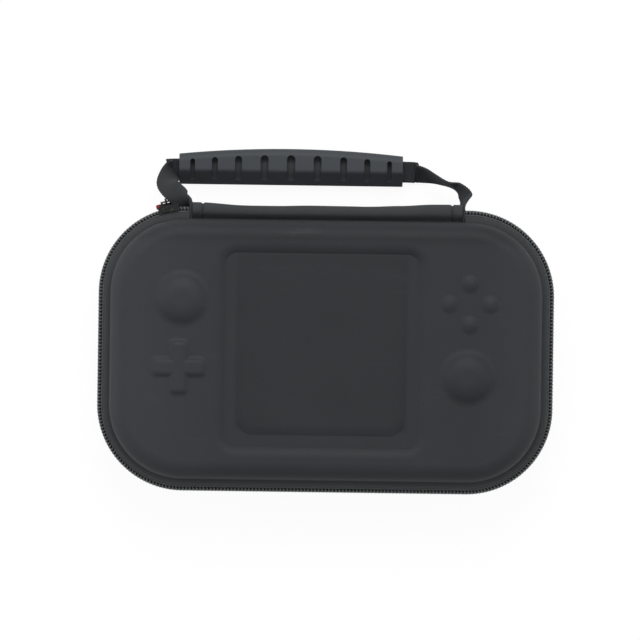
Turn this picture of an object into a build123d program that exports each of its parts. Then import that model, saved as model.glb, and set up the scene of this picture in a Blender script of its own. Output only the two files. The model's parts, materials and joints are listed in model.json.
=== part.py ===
from build123d import *
import os
from math import cos, radians, sin

# Moulded zip case for a handheld console, lying on its base with the lid up.
# X runs along the spine, Y from the front to the spine, Z up. Millimetres.

# Lid's screen frame, and the room left around it out to the closed zip
frame_size = 84.8
side_room = 52.6
end_room = 16.85
zip_corner = 36.0

# Heights: the tray, half the zip's band, and the lid above it
base_rim = 19.0
zip_half = 5.5
lid_height = 16.0

# Moulded shells, measured inwards from the zip's outline
shell_inset = 5.0
shell_wall = 4.0
shell_draft = 1.4
shell_round = 6.5
cavity_round = 3.0
rim_round = 0.8

# Relief of the lid: a sunk frame around a flat panel, and the controls at its sides
panel_x = -1.7
frame_slope = 2.2
frame_depth = 1.7
frame_round = 6.0
panel_step = 5.0
panel_slope = 4.0
panel_front_rise = 0.9
panel_back_rise = 0.1
panel_swell = ((0.25, 0.45), (0.5, 0.75), (0.75, 0.93), (1.0, 1.0))
left_stick_out = 15.5
left_stick_y = 20.9
right_stick_out = 18.3
right_stick_y = -10.4
stick_radius = 10.6
stick_flat = 3.0
stick_rise = 3.2
stick_foot = 4.5
cross_out = 16.7
cross_y = -7.6
cross_span = 25.0
cross_arm = 10.2
cross_slope = 2.6
cross_rise = 1.3
cross_edge = 2.4
cross_foot = 2.0
button_out = 18.8
button_y = 19.8
button_pitch = 8.5
button_radius = 3.5
button_rise = 1.0
button_foot = 2.4
sunk = 0.8

# Zip
tape = 0.9
tape_inset = 2.4
tape_bend = 3.1
coil_gap = 0.35
coil_height = 2.6
zip_lead = 1.1
fold_reach = 13.0
fold_gap = 0.3

# Slider, placed by its angle round the back left corner
slider_angle = 11.6
slider_length = 8.6
slider_half = 3.9
slider_gap = 0.35
plate = 0.8
bail_length = 5.4
bail_window = 1.3
bail_bar = 0.65
link_width = 0.7
link_top = 1.7
link_drop = 9.0
link_offset = 0.6
tip_width = 9.2
tip_thick = 2.0
tip_drop = 7.5
tip_length = 12.4

# Spine
spine_gap = 2.1
spine_out = 1.0
spine_in = 8.6
spine_thick = 1.3
spine_round = 3.0
lining_set = 2.0
lining_thick = 0.8

# Handle
grip_x = -15.5
grip_reach = 17.35
grip_length = 93.6
grip_depth = 15.1
grip_end_depth = 12.6
grip_height = 12.0
ridge_y = -2.0
ridge_round = 2.0
slope_foot = 5.2
groove_floor = 7.4
groove_spots = (0.0, 11.1, 22.0, 31.9, 41.2)
groove_widths = (3.5, 3.3, 2.9, 2.5, 2.0)
webbing_width = 8.8
webbing_thick = 1.2
webbing_set = 1.4
webbing_z = 4.0
root_depth = 2.65
root_out = 1.15
root_drop = 1.3
left_mouth = 2.2
right_mouth = 1.8
left_bulge = 7.0

# Inside
bay_side = 17.0
bay_end = 15.25
bay_corner = 22.0
bay_floor = 8.0
cradle_drop = 3.1
notch_radius = 13.0
binding = 1.0
binding_drop = 3.0
mesh_rise = 6.0
mesh_thick = 0.8
pocket_depth = 68.25
hem_depth = 6.0
hem_thick = 1.4

zip_width = frame_size + 2 * side_room
zip_depth = frame_size + 2 * end_room
half_width = zip_width / 2
half_depth = zip_depth / 2
corner_x = half_width - zip_corner
corner_y = half_depth - zip_corner
wall_inset = shell_inset + shell_wall
zip_line = base_rim + zip_half
lid_rim = zip_line + zip_half
lid_top = lid_rim + lid_height
frame_floor = frame_size - 2 * frame_slope
panel_foot = frame_floor - 2 * panel_step
panel_crest = panel_foot - 2 * panel_slope
frame_left = panel_x - frame_size / 2
frame_right = panel_x + frame_size / 2
left_stick = (frame_left - left_stick_out, left_stick_y)
right_stick = (frame_right + right_stick_out, right_stick_y)
cross_spot = (frame_left - cross_out, cross_y)
button_spot = (frame_right + button_out, button_y)
zip_start = corner_x - zip_lead
zip_fold = corner_x + fold_reach
spine_half = zip_start - spine_gap
root_x = zip_start - spine_gap / 2
grip_y = half_depth + grip_reach
webbing_y = grip_y - webbing_set
tip_top = zip_line - tip_drop
tip_bottom = tip_top - tip_length
bay_width = zip_width - 2 * bay_side
bay_depth = zip_depth - 2 * bay_end
cradle_top = base_rim - cradle_drop
mesh_level = lid_rim + mesh_rise
mesh_front = half_depth - wall_inset - pocket_depth


def outline(inset, level):
    """Rounded outline of the case at a height, set in from the zip."""
    width = zip_width - 2 * inset
    depth = zip_depth - 2 * inset
    return Pos(0, 0, level) * RectangleRounded(width, depth, zip_corner - inset)


def slab(inset, low, high):
    """Upright block with the case's outline."""
    return extrude(outline(inset, low), high - low)


def mirrored(shape):
    """The same shape turned over about the plane where the zip closes."""
    return mirror(shape, about=Plane.XY.offset(zip_line))


def block(low, high):
    """Box between two corners."""
    sizes = [b - a for a, b in zip(low, high)]
    return Pos(*low) * Box(*sizes, align=(Align.MIN, Align.MIN, Align.MIN))


def half_shell(height, roof):
    """One moulded half, rim down at its own zero, with its rounded outer edge."""
    outer = loft([outline(shell_inset, 0), outline(shell_inset + shell_draft, height)], ruled=True)
    outer = fillet(outer.edges().group_by(Axis.Z)[-1], shell_round)
    outer = fillet(outer.edges().group_by(Axis.Z)[0], rim_round)
    cavity = slab(wall_inset, 0, height - roof)
    cavity = fillet(cavity.edges().group_by(Axis.Z)[-1], cavity_round)
    return outer - cavity


def rounded_square(size, corner, level):
    """Rounded square of the lid's relief at a height."""
    return Pos(panel_x, 0, level) * RectangleRounded(size, size, corner)


def cap(radius, rise):
    """Low dome standing on the lid's face."""
    ball = (radius**2 + rise**2) / (2 * rise)
    sphere = Pos(0, 0, lid_top + rise - ball) * Sphere(ball)
    return sphere & block((-radius, -radius, lid_top - sunk), (radius, radius, lid_top + rise))


def stick_dome():
    """Dome with a flat top and a steep round edge."""
    edge = TangentArc((stick_flat, stick_rise), (stick_radius, 0), tangent=(1, 0))
    foot = Polyline((stick_radius, 0), (stick_radius, -sunk), (0, -sunk))
    rest = foot + Polyline((0, -sunk), (0, stick_rise), (stick_flat, stick_rise))
    return Pos(0, 0, lid_top) * revolve(Plane.XZ * make_face(Curve() + edge + rest), Axis.Z)


def screen_relief():
    """What is pressed out of the lid around its flat panel, which rises towards the front."""
    floor = lid_top - frame_depth
    tilt = -57.29578 * (panel_front_rise - panel_back_rise) / panel_crest
    middle = (panel_front_rise + panel_back_rise) / 2
    bed = rounded_square(frame_floor, 5.0, floor)
    mouth = rounded_square(frame_size, 8.0, lid_top)
    swell = [rounded_square(panel_foot, 7.0, floor)]
    for inward, upward in panel_swell:
        size = panel_foot - 2 * panel_slope * inward
        square = RectangleRounded(size, size, 7.0 - 2 * inward)
        swell.append(Pos(panel_x, 0, floor + middle * upward) * Rot(tilt * upward, 0, 0) * square)
    return loft([bed, mouth], ruled=True) - loft(swell, ruled=True)


def cross_pad():
    """Soft raised cross."""
    foot = RectangleRounded(cross_span, cross_arm, 2.6)
    top = RectangleRounded(cross_span - 2 * cross_slope, cross_arm - 2 * cross_slope, 1.6)
    arm = loft([foot, Pos(0, 0, cross_rise + sunk) * top], ruled=True)
    pad = arm + Rot(0, 0, 90) * arm
    pad = fillet(pad.edges().group_by(Axis.Z)[-1], cross_edge)
    return Pos(cross_spot[0], cross_spot[1], lid_top - sunk) * pad


def button_spots():
    """Centres of the four buttons, set as a diamond."""
    x, y = button_spot
    turns = [(1, 0), (0, 1), (-1, 0), (0, -1)]
    return [(x + button_pitch * a, y + button_pitch * b) for a, b in turns]


def foot_edges(lid, spot, reach):
    """Edges where a raised shape meets the lid's face."""
    level = [e for e in lid.edges() if abs(e.center().Z - lid_top) < 0.01]
    near = []
    for edge in level:
        ends = [edge @ 0, edge @ 0.5, edge @ 1]
        if all(abs(p.X - spot[0]) < reach and abs(p.Y - spot[1]) < reach for p in ends):
            near.append(edge)
    return near


def lid_shell():
    """Lid with the sunk frame, the domes, the cross and the buttons."""
    lid = Pos(0, 0, lid_rim) * half_shell(lid_top - lid_rim, shell_wall)
    lid = lid - screen_relief()
    reach = frame_size / 2 + frame_slope
    square = [e for e in lid.edges() if abs(e.center().X - panel_x) < reach and abs(e.center().Y) < reach]
    lid = fillet([e for e in square if abs(e.center().Z - lid_top) < 0.01], frame_round)
    for spot in (left_stick, right_stick):
        lid = lid + Pos(spot[0], spot[1], 0) * stick_dome()
        hollow = Pos(spot[0], spot[1], -shell_wall) * cap(stick_radius - 2.6, stick_rise - 0.8)
        lid = lid - hollow
        lid = fillet(foot_edges(lid, spot, stick_radius + 1), stick_foot)
    for spot in button_spots():
        lid = lid + Pos(spot[0], spot[1], 0) * cap(button_radius, button_rise)
        lid = fillet(foot_edges(lid, spot, button_radius + 0.5), button_foot)
    lid = lid + cross_pad()
    return fillet(foot_edges(lid, cross_spot, cross_span * 0.75), cross_foot)


def base_shell():
    """Plain moulded tray that the case lies on."""
    tray = half_shell(base_rim, shell_wall)
    return Pos(0, 0, base_rim) * Rot(180, 0, 0) * tray


def zip_run():
    """Path of the zip from the spine's right end round the front to its left end."""
    right = Line((zip_start, half_depth), (corner_x, half_depth))
    back_right = CenterArc((corner_x, corner_y), zip_corner, 90, -90)
    side_right = Line((half_width, corner_y), (half_width, -corner_y))
    front_right = CenterArc((corner_x, -corner_y), zip_corner, 0, -90)
    front = Line((corner_x, -half_depth), (-corner_x, -half_depth))
    front_left = CenterArc((-corner_x, -corner_y), zip_corner, -90, -90)
    side_left = Line((-half_width, -corner_y), (-half_width, corner_y))
    back_left = CenterArc((-corner_x, corner_y), zip_corner, 180, -90)
    left = Line((-corner_x, half_depth), (-zip_start, half_depth))
    first_half = [right, back_right, side_right, front_right, front]
    return Wire([line.edge() for line in first_half + [front_left, side_left, back_left, left]])


def zip_band(section):
    """Section drawn as distance in from the zip and height, run round the case."""
    start = Plane(origin=(zip_start, half_depth, 0), x_dir=(0, -1, 0), z_dir=(-1, 0, 0))
    return sweep(start * section, path=zip_run())


def tape_section(seat, reach):
    """Upper tape: flat behind the coil, bent in under the rim."""
    low = zip_line + coil_gap
    bend = zip_line + tape_bend
    back = tape_inset + tape
    outer = [(reach, seat), (shell_inset, seat), (tape_inset, bend), (tape_inset, low)]
    inner = [(back, low), (back, bend - 0.4), (shell_inset + 0.4, seat - tape), (reach, seat - tape)]
    return make_face(Polyline(*outer, *inner, close=True))


def coil_section():
    """Upper half of the coil, in front of its tape."""
    bead = Pos(tape_inset / 2, zip_line + coil_gap + coil_height / 2) * Rectangle(tape_inset, coil_height)
    return fillet(bead.vertices(), 0.7)


def back_corners(gap):
    """The zip's stretches between the spine and the fold beside each back corner."""
    reach = zip_fold + gap
    return block((-reach, corner_y + wall_inset, 0), (reach, half_depth + wall_inset, lid_top))


def spine_section():
    """Folded strip, open towards the inside of the case."""
    top = lid_rim - fold_gap
    outer = block((-spine_half, half_depth - spine_in, base_rim), (spine_half, half_depth + spine_out, top))
    outer = fillet(outer.edges().filter_by(Axis.X).group_by(Axis.Y)[-1], spine_round)
    low = base_rim + spine_thick
    back = half_depth + spine_out - spine_thick
    inner = block((-spine_half, half_depth - spine_in, low), (spine_half, back, top - spine_thick))
    inner = fillet(inner.edges().filter_by(Axis.X).group_by(Axis.Y)[-1], spine_round - spine_thick)
    return outer - inner


def spine_lining():
    """Inner facing of the hinge, between the strip's two leaves."""
    low = base_rim + spine_thick
    high = lid_rim - fold_gap - spine_thick
    back = half_depth - spine_in + lining_set
    return block((-spine_half, back - lining_thick, low), (spine_half, back, high))


def corner_turn(inner, outer, low, high, start, sweep_angle):
    """Piece that follows the back left corner, sized by distance out from the zip."""
    middle = Pos(zip_corner + (inner + outer) / 2, (low + high) / 2)
    section = Plane.XZ * (middle * Rectangle(outer - inner, high - low))
    turned = revolve(section, Axis.Z, sweep_angle)
    return Pos(-corner_x, corner_y, 0) * Rot(0, 0, 90 + start) * turned


def along(length):
    """Angle round the corner that covers a length of zip."""
    return length / zip_corner * 57.29578


def slider_body():
    """Outer plate with turned edges, inner plate, and the web between the coils."""
    span = along(slider_length)
    start = slider_angle - span / 2
    low = zip_line - slider_half
    high = zip_line + slider_half
    lip = zip_line + coil_gap + coil_height + slider_gap
    back = -(tape_inset + tape + slider_gap)
    body = corner_turn(slider_gap, slider_gap + plate, low, high, start, span)
    body = fillet(body.edges().filter_by(GeomType.LINE).group_by(Axis.Z)[0], 0.3)
    upper = corner_turn(-1.7, slider_gap, lip, high, start, span)
    inner = corner_turn(back - plate, back, zip_line - 2.4, zip_line + 2.4, start, span)
    web = corner_turn(back, slider_gap, zip_line - 0.12, zip_line + 0.12, start + span * 0.35, span * 0.3)
    return body + upper + mirrored(upper) + inner + web


def slider_bail():
    """Arched bar on the outer plate that the pull hangs from."""
    span = along(bail_length)
    leg = along(0.8)
    start = slider_angle - span / 2
    face = slider_gap + plate
    top = face + bail_window
    bar = corner_turn(top, top + bail_bar, zip_line - 0.5, zip_line + 0.5, start, span)
    near = corner_turn(face, top, zip_line - 0.5, zip_line + 0.5, start, leg)
    far = corner_turn(face, top, zip_line - 0.5, zip_line + 0.5, start + span - leg, leg)
    return bar + near + far


def pull_plane():
    """Plane of the hanging pull: x outwards from the zip, y up, at the bail's bar."""
    angle = radians(slider_angle + along(link_offset))
    out = Vector(-sin(angle), cos(angle), 0)
    middle = zip_corner + slider_gap + plate + bail_window + bail_bar / 2
    centre = Vector(-corner_x, corner_y, zip_line) + out * middle
    return Plane(origin=centre, x_dir=out, z_dir=out.cross(Vector(0, 0, 1)))


def pull_link():
    """Stamped loop round the bail's bar."""
    half = bail_bar / 2 + 0.3
    middle = (link_top - link_drop) / 2
    height = link_top + link_drop
    ring = Pos(0, middle) * RectangleRounded(2 * (half + link_width), height + 2 * link_width, half + 0.3)
    hole = Pos(0, middle) * RectangleRounded(2 * half, height, half - 0.1)
    return pull_plane() * extrude(ring - hole, link_width / 2, both=True)


def pull_tip():
    """Moulded end that grips the link, set back towards the case."""
    inner = slider_gap - (slider_gap + plate + bail_window + bail_bar / 2)
    face = Pos(inner + tip_thick / 2, (tip_top + tip_bottom) / 2 - zip_line)
    tip = extrude(face * Rectangle(tip_thick, tip_top - tip_bottom), tip_width / 2, both=True)
    tip = fillet(tip.edges().filter_by(Axis.X), 2.4)
    tip = fillet(tip.edges().group_by(Axis.X)[0] + tip.edges().group_by(Axis.X)[-1], 0.5)
    return pull_plane() * tip - pull_link()


def long_edges(body):
    """Edges that run the length of the grip."""
    return [e for e in body.edges() if e.length > grip_length * 0.9]


def grip():
    """Moulded grip: arched back, a ridge along its top, grooves across it."""
    low = grip_y - grip_depth / 2
    end = low + grip_end_depth
    high = low + grip_depth
    left = -grip_length / 2
    right = grip_length / 2
    arch = ThreePointArc((right, end), (0, high), (left, end))
    sides = Polyline((left, end), (left, low), (right, low), (right, end))
    body = extrude(make_face(Curve() + [arch, sides]), grip_height)
    ridge = grip_y + ridge_y
    lowest = slope_foot - 2 * (grip_height - slope_foot) / (ridge - low)
    wedge = make_face(Polyline((low - 2, lowest), (ridge, grip_height), (low - 2, grip_height), close=True))
    body = body - extrude(Plane.YZ * wedge, grip_length, both=True)
    body = fillet([e for e in long_edges(body) if e.center().Y > grip_y and e.center().Z > 1], 3.2)
    body = fillet([e for e in long_edges(body) if abs(e.center().Y - ridge) < 0.5], ridge_round)
    body = fillet([e for e in long_edges(body) if e.center().Z < 8], 1.4)
    for spot, width in zip(groove_spots, groove_widths):
        top = end + (high - end) * (1 - (2 * spot / grip_length) ** 2) - 2.7
        groove = Pos(0, (low + top) / 2) * SlotOverall(top - low, width, rotation=90)
        cutter = Pos(0, 0, groove_floor) * extrude(groove, grip_height)
        body = body - Pos(spot, 0, 0) * cutter
        if spot:
            body = body - Pos(-spot, 0, 0) * cutter
    bore = Pos(0, webbing_y, webbing_z) * Box(grip_length + 2, webbing_width + 0.5, webbing_thick + 1.0)
    return Pos(grip_x, 0, 0) * (body - bore)


def webbing_stations():
    """Middle line of the strap from the left root to the right one, with its width's direction.

    Between a root and the grip's mouth a station is a share of the way along, across and down.
    """
    seam_y = half_depth - root_depth
    exit_y = half_depth + root_out
    exit_z = zip_line - root_drop
    drop = exit_z - webbing_z
    left_end = grip_x - grip_length / 2 - left_mouth
    right_end = grip_x + grip_length / 2 + right_mouth
    left_turns = [
        (0.25, 0.11, 0.09, (0.55, 0.45, 0.70)),
        (0.50, 0.26, 0.19, (0.72, 0.66, 0.20)),
        (0.71, 0.45, 0.32, (0.80, 0.60, 0.05)),
        (0.77, 0.62, 0.51, (0.97, 0.24, 0)),
        (0.61, 0.80, 0.72, (0.90, -0.44, 0)),
        (0.32, 0.94, 0.90, (0.50, -0.87, 0)),
    ]
    right_turns = [
        (0.19, 0.96, 0.95, (0, -0.80, -0.60)),
        (0.35, 0.87, 0.84, (0.05, -0.55, -0.83)),
        (0.54, 0.78, 0.72, (0.05, -0.25, -0.96)),
        (0.75, 0.65, 0.56, (0, -0.08, -1)),
        (0.92, 0.49, 0.41, (-0.33, -0.08, -0.94)),
        (1.00, 0.25, 0.22, (-0.32, -0.08, -0.94)),
    ]
    stations = [
        ((-root_x, seam_y, zip_line), (0, 0.30, 0.95)),
        ((-root_x, exit_y, exit_z), (0, 0.30, 0.95)),
    ]
    for bulge, along_y, down, wide in left_turns:
        x = -root_x + (left_end + root_x) * along_y - left_bulge * bulge
        stations.append(((x, exit_y + (webbing_y - exit_y) * along_y, exit_z - drop * down), wide))
    stations.append(((left_end, webbing_y, webbing_z), (0, -1, 0)))
    stations.append(((right_end, webbing_y, webbing_z), (0, -1, 0)))
    for along_x, along_y, down, wide in right_turns:
        x = right_end + (root_x - right_end) * along_x
        stations.append(((x, exit_y + (webbing_y - exit_y) * along_y, exit_z - drop * down), wide))
    stations.append(((root_x, exit_y, exit_z), (0, -0.30, -0.95)))
    stations.append(((root_x, seam_y, zip_line), (0, -0.30, -0.95)))
    return stations


def webbing():
    """Flat strap that twists from its sewn ends into the grip and runs through it."""
    stations = webbing_stations()
    points = [Vector(*p) for p, w in stations]
    sections = []
    for i, (point, wide) in enumerate(stations):
        before = points[max(i - 1, 0)]
        after = points[min(i + 1, len(points) - 1)]
        ahead = (after - before).normalized()
        across = Vector(*wide) - ahead * Vector(*wide).dot(ahead)
        across = across.normalized() * (webbing_width / 2)
        through = ahead.cross(across).normalized() * (webbing_thick / 2)
        signs = [(1, 1), (1, -1), (-1, -1), (-1, 1)]
        corners = [points[i] + across * a + through * b for a, b in signs]
        sections.append(Polyline(*corners, close=True).wire())
    lengths = [Solid.make_loft([a, b], True) for a, b in zip(sections, sections[1:])]
    return lengths[0].fuse(*lengths[1:])


def foam_cradle():
    """Foam bed with the console's bay and a thumb notch at each side."""
    bed = slab(wall_inset, shell_wall, cradle_top)
    bed = fillet(bed.edges().group_by(Axis.Z)[0], cavity_round)
    bay = Pos(0, 0, bay_floor) * extrude(RectangleRounded(bay_width, bay_depth, bay_corner), base_rim)
    bed = bed - bay
    for side in (-1, 1):
        notch = Pos(side * bay_width / 2, 0, bay_floor) * extrude(Circle(notch_radius), base_rim)
        bed = bed - (notch & slab(wall_inset + 2.5, 0, lid_rim))
    return bed


def binding_ring():
    """Tape sewn over the inner edge of the lid's rim."""
    low = lid_rim - tape
    ring = slab(wall_inset, low, lid_rim + binding_drop)
    return ring - slab(wall_inset + binding, low, lid_rim + binding_drop)


def mesh_pocket():
    """Net panel across the back of the lid."""
    panel = slab(wall_inset, mesh_level, mesh_level + mesh_thick)
    return panel & block((-half_width, mesh_front, 0), (half_width, half_depth, lid_top))


def pocket_hem():
    """Elastic edge along the pocket's mouth."""
    band = slab(wall_inset, mesh_level, mesh_level + hem_thick)
    return band & block((-half_width, mesh_front - hem_depth, 0), (half_width, mesh_front, lid_top))


lid_tape = zip_band(tape_section(lid_rim, wall_inset))
lid_coil = zip_band(coil_section())
end_tape = zip_band(tape_section(lid_rim - fold_gap, spine_in))

pieces = {
    "base_shell": base_shell(),
    "lid_shell": lid_shell(),
    "spine_panel": spine_section(),
    "spine_lining": spine_lining(),
    "base_zip_tape": mirrored(lid_tape),
    "base_zip_coil": mirrored(lid_coil),
    "zip_end_tapes": end_tape & back_corners(0),
    "zip_end_coils": lid_coil & back_corners(0),
    "lid_zip_tape": lid_tape - back_corners(fold_gap),
    "lid_zip_coil": lid_coil - back_corners(fold_gap),
    "base_binding": mirrored(binding_ring()),
    "lid_binding": binding_ring(),
    "foam_cradle": foam_cradle(),
    "mesh_pocket": mesh_pocket(),
    "pocket_hem": pocket_hem(),
    "slider_body": slider_body(),
    "slider_bail": slider_bail(),
    "pull_link": pull_link(),
    "pull_tip": pull_tip(),
    "handle_grip": grip(),
    "handle_webbing": webbing(),
}

os.makedirs("parts", exist_ok=True)
for name, shape in pieces.items():
    export_step(shape, f"parts/{name}.step")
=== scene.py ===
import json
import logging
import math
from dataclasses import dataclass, field
from enum import Enum
from typing import Callable, Sequence

import bmesh
import bpy
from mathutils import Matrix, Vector


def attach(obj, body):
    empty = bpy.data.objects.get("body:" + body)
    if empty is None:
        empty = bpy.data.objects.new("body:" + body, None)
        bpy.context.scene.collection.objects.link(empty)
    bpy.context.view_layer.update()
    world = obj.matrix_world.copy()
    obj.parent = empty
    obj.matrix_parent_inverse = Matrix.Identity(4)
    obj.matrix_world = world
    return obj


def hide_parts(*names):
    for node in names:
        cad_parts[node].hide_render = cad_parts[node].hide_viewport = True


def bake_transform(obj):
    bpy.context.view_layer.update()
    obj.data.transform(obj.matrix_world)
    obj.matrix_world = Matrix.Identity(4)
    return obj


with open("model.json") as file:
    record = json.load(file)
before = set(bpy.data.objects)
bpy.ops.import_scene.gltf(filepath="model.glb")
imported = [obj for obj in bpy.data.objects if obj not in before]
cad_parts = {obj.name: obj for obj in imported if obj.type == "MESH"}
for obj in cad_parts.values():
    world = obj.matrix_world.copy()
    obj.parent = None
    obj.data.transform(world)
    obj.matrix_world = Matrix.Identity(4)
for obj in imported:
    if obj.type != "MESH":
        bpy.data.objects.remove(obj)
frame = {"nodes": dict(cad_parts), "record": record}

# Zipped hard case for a handheld console: what is sewn, woven or coiled is built here around the
# moulded and stamped solids. Lengths in the classes are millimetres, meshes are in metres.

MM = 0.001
TAU = 2 * math.pi
UP = Vector((0, 0, 1))

Colour = tuple[float, float, float, float]
Pair = tuple[float, float]
Spot = tuple[float, float, float]
Turn = tuple[float, float, float, Spot]
Reshape = Callable[[Vector], Vector]

log = logging.getLogger("case")


def tone(red: int, green: int, blue: int) -> Colour:
    """Shader colour of a screen colour given in steps of 255."""
    steps = [c / 255 for c in (red, green, blue)]
    linear = [c / 12.92 if c <= 0.04045 else ((c + 0.055) / 1.055) ** 2.4 for c in steps]
    return (*linear, 1.0)


class Weave(Enum):
    """How the yarns of a cloth cross."""

    PLAIN = "plain"
    TWILL = "twill"
    RIB = "rib"


class Signal:
    """A shader socket that takes part in ordinary arithmetic."""

    def __init__(self, recipe: "Recipe", socket: bpy.types.NodeSocket) -> None:
        """Hold the socket and the recipe it belongs to."""
        self.recipe = recipe
        self.socket = socket

    def _maths(self, operation: str, *terms: "Signal | float") -> "Signal":
        """Put the terms through one Math node."""
        return self.recipe.node("ShaderNodeMath", {"operation": operation}, dict(enumerate(terms)))

    def __add__(self, other: "Signal | float") -> "Signal":
        """Sum with another value."""
        return self._maths("ADD", self, other)

    def __radd__(self, other: float) -> "Signal":
        """Sum with a number on the left."""
        return self._maths("ADD", other, self)

    def __sub__(self, other: "Signal | float") -> "Signal":
        """Difference from another value."""
        return self._maths("SUBTRACT", self, other)

    def __rsub__(self, other: float) -> "Signal":
        """Difference from a number on the left."""
        return self._maths("SUBTRACT", other, self)

    def __mul__(self, other: "Signal | float") -> "Signal":
        """Product with another value."""
        return self._maths("MULTIPLY", self, other)

    def __rmul__(self, other: float) -> "Signal":
        """Product with a number on the left."""
        return self._maths("MULTIPLY", other, self)

    def sine(self) -> "Signal":
        """Sine of this value."""
        return self._maths("SINE", self)

    def size(self) -> "Signal":
        """Value without its sign."""
        return self._maths("ABSOLUTE", self)

    def between(self, low: float, high: float) -> "Signal":
        """Smooth step from 0 at low to 1 at high."""
        settings = {"interpolation_type": "SMOOTHSTEP"}
        return self.recipe.node("ShaderNodeMapRange", settings, {0: self, 1: low, 2: high, 3: 0.0, 4: 1.0})

    def part(self, axis: str) -> "Signal":
        """One axis of a vector."""
        return self.recipe.node("ShaderNodeSeparateXYZ", {}, {0: self}, axis)

    def stretched(self, x: float, y: float, z: float) -> "Signal":
        """Vector with each axis scaled by its own number."""
        return self.recipe.node("ShaderNodeVectorMath", {"operation": "MULTIPLY"}, {0: self, 1: (x, y, z)})


class Recipe:
    """A material under construction."""

    def __init__(self, name: str) -> None:
        """Start a material with one principled surface."""
        self.material = bpy.data.materials.new(name)
        self.material.use_nodes = True
        self.tree = self.material.node_tree
        self.skin = next(n for n in self.tree.nodes if n.type == "BSDF_PRINCIPLED")

    def node(
        self,
        kind: str,
        settings: dict[str, object] | None = None,
        sockets: dict[str | int, object] | None = None,
        output: str | int = 0,
    ) -> Signal:
        """Add one shader node.

        Args:
            kind: The node's type.
            settings: Its settings, set before its sockets.
            sockets: Values or signals for its inputs.
            output: Which output to hand back.

        Returns:
            The chosen output.
        """
        made = self.tree.nodes.new(kind)
        for key, value in (settings or {}).items():
            setattr(made, key, value)
        for key, value in (sockets or {}).items():
            self.feed(made.inputs[key], value)
        return Signal(self, made.outputs[output])

    def feed(self, socket: bpy.types.NodeSocket, value: object) -> None:
        """Link a signal to a socket, or set the socket's own value."""
        if isinstance(value, Signal):
            self.tree.links.new(value.socket, socket)
        else:
            socket.default_value = value

    def place(self) -> Signal:
        """Place on the object, in metres."""
        return self.node("ShaderNodeTexCoord", output="Object")

    def cloth(self) -> Signal:
        """Place on the cloth: metres along its run and across it."""
        return self.node("ShaderNodeUVMap", {"uv_map": "cloth"})

    def front(self) -> Signal:
        """Share of painted light: 1 along the case's front, where the lid casts shade on the zip, 0 behind.
        """
        return (0 - self.place().part("Y")).between(0.03, 0.056)

    def noise(self, where: Signal, scale: float, detail: float = 2.0) -> Signal:
        """Cloudy pattern about one half."""
        return self.node("ShaderNodeTexNoise", {}, {"Vector": where, "Scale": scale, "Detail": detail})

    def cells(self, where: Signal, scale: float) -> Signal:
        """Pebbles: the distance from the nearest of many scattered points."""
        return self.node("ShaderNodeTexVoronoi", {}, {"Vector": where, "Scale": scale})

    def mixed(self, share: Signal | float, first: Colour | Signal, second: Colour | Signal) -> Signal:
        """Colour between two others."""
        return self.node("ShaderNodeMix", {"data_type": "RGBA"}, {0: share, 6: first, 7: second}, 2)

    def relief(self, height: Signal, depth: float) -> Signal:
        """Normal of a surface raised by height times depth, in metres."""
        return self.node("ShaderNodeBump", {}, {"Strength": 1.0, "Distance": depth, "Height": height})

    def surface(self, **inputs: object) -> bpy.types.Material:
        """Set the surface's inputs, named with underscores, and hand back the material."""
        for key, value in inputs.items():
            self.feed(self.skin.inputs[key.replace("_", " ")], value)
        return self.material


@dataclass(frozen=True)
class Finish:
    """A surface finish: its record slot and its two end colours."""

    slot: str
    dark: Colour
    light: Colour

    def material(self) -> bpy.types.Material:
        """Material of this finish, made once."""
        found = bpy.data.materials.get(self.key())
        return found or self.make(Recipe(self.key()))

    def key(self) -> str:
        """Name the material goes by."""
        return f"{type(self).__name__}_{self.slot}"

    def make(self, recipe: Recipe) -> bpy.types.Material:
        """Build the material."""
        raise NotImplementedError

    def wear(self, piece: bpy.types.Object) -> None:
        """Dress a piece in this finish alone."""
        piece.data.materials.clear()
        piece.data.materials.append(self.material())


@dataclass(frozen=True)
class PressedSkin(Finish):
    """Coated cloth pressed over foam: fine pebble grain, faint clouds and rubbed streaks, with painted
    light towards the sides, painted shade along the back edge and a darker screen panel.
    """

    pebbles: float = 1700.0
    depth: float = 0.035
    panel_middle: Pair = (-1.7, 3.2)
    panel_half: Pair = (37.0, 38.0)
    panel_fade: float = 3.0
    side_light_left: Pair = (30.0, 85.0)
    side_light_right: Pair = (60.0, 92.0)
    back_shade_span: Pair = (42.5, 47.5)

    def make(self, recipe: Recipe) -> bpy.types.Material:
        """Build the skin.

        Args:
            recipe: Material to fill.

        Returns:
            The finished material.
        """
        place = recipe.place()
        pebble = recipe.cells(place, self.pebbles)
        pore = recipe.noise(place, 4200, 3)
        cloud = recipe.noise(place, 42, 4)
        rub = recipe.noise(place.stretched(40, 260, 120), 1, 3).between(0.62, 0.8)
        # Painted light: lighter towards the left side and, less, towards the right side, as side lamps
        # would light a rounded lid.
        left = (0 - place.part("X")).between(*[x * MM for x in self.side_light_left])
        right = place.part("X").between(*[x * MM for x in self.side_light_right])
        painted_side_light = left + right * 0.55
        # Darker over the square of the screen panel.
        across, along = [
            (place.part(axis) - middle * MM).size().between((half - self.panel_fade) * MM, half * MM)
            for axis, middle, half in zip("XY", self.panel_middle, self.panel_half)
        ]
        pressed = (1 - across) * (1 - along)
        # Painted shade: darker along the back edge's rounding, where the back lamp would light it.
        painted_back_shade = place.part("Y").between(*[y * MM for y in self.back_shade_span])
        share = cloud * 0.4 + pore * 0.3 + rub * 0.12 + painted_side_light * 0.36 - pressed * 0.21 - painted_back_shade * 0.28
        return recipe.surface(
            Base_Color=recipe.mixed(share, self.dark, self.light),
            Roughness=0.5 + cloud * 0.16 + pebble * 0.1 - rub * 0.08,
            Normal=recipe.relief(pebble * 0.8 + pore * 0.35, self.depth * MM),
        )


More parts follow.
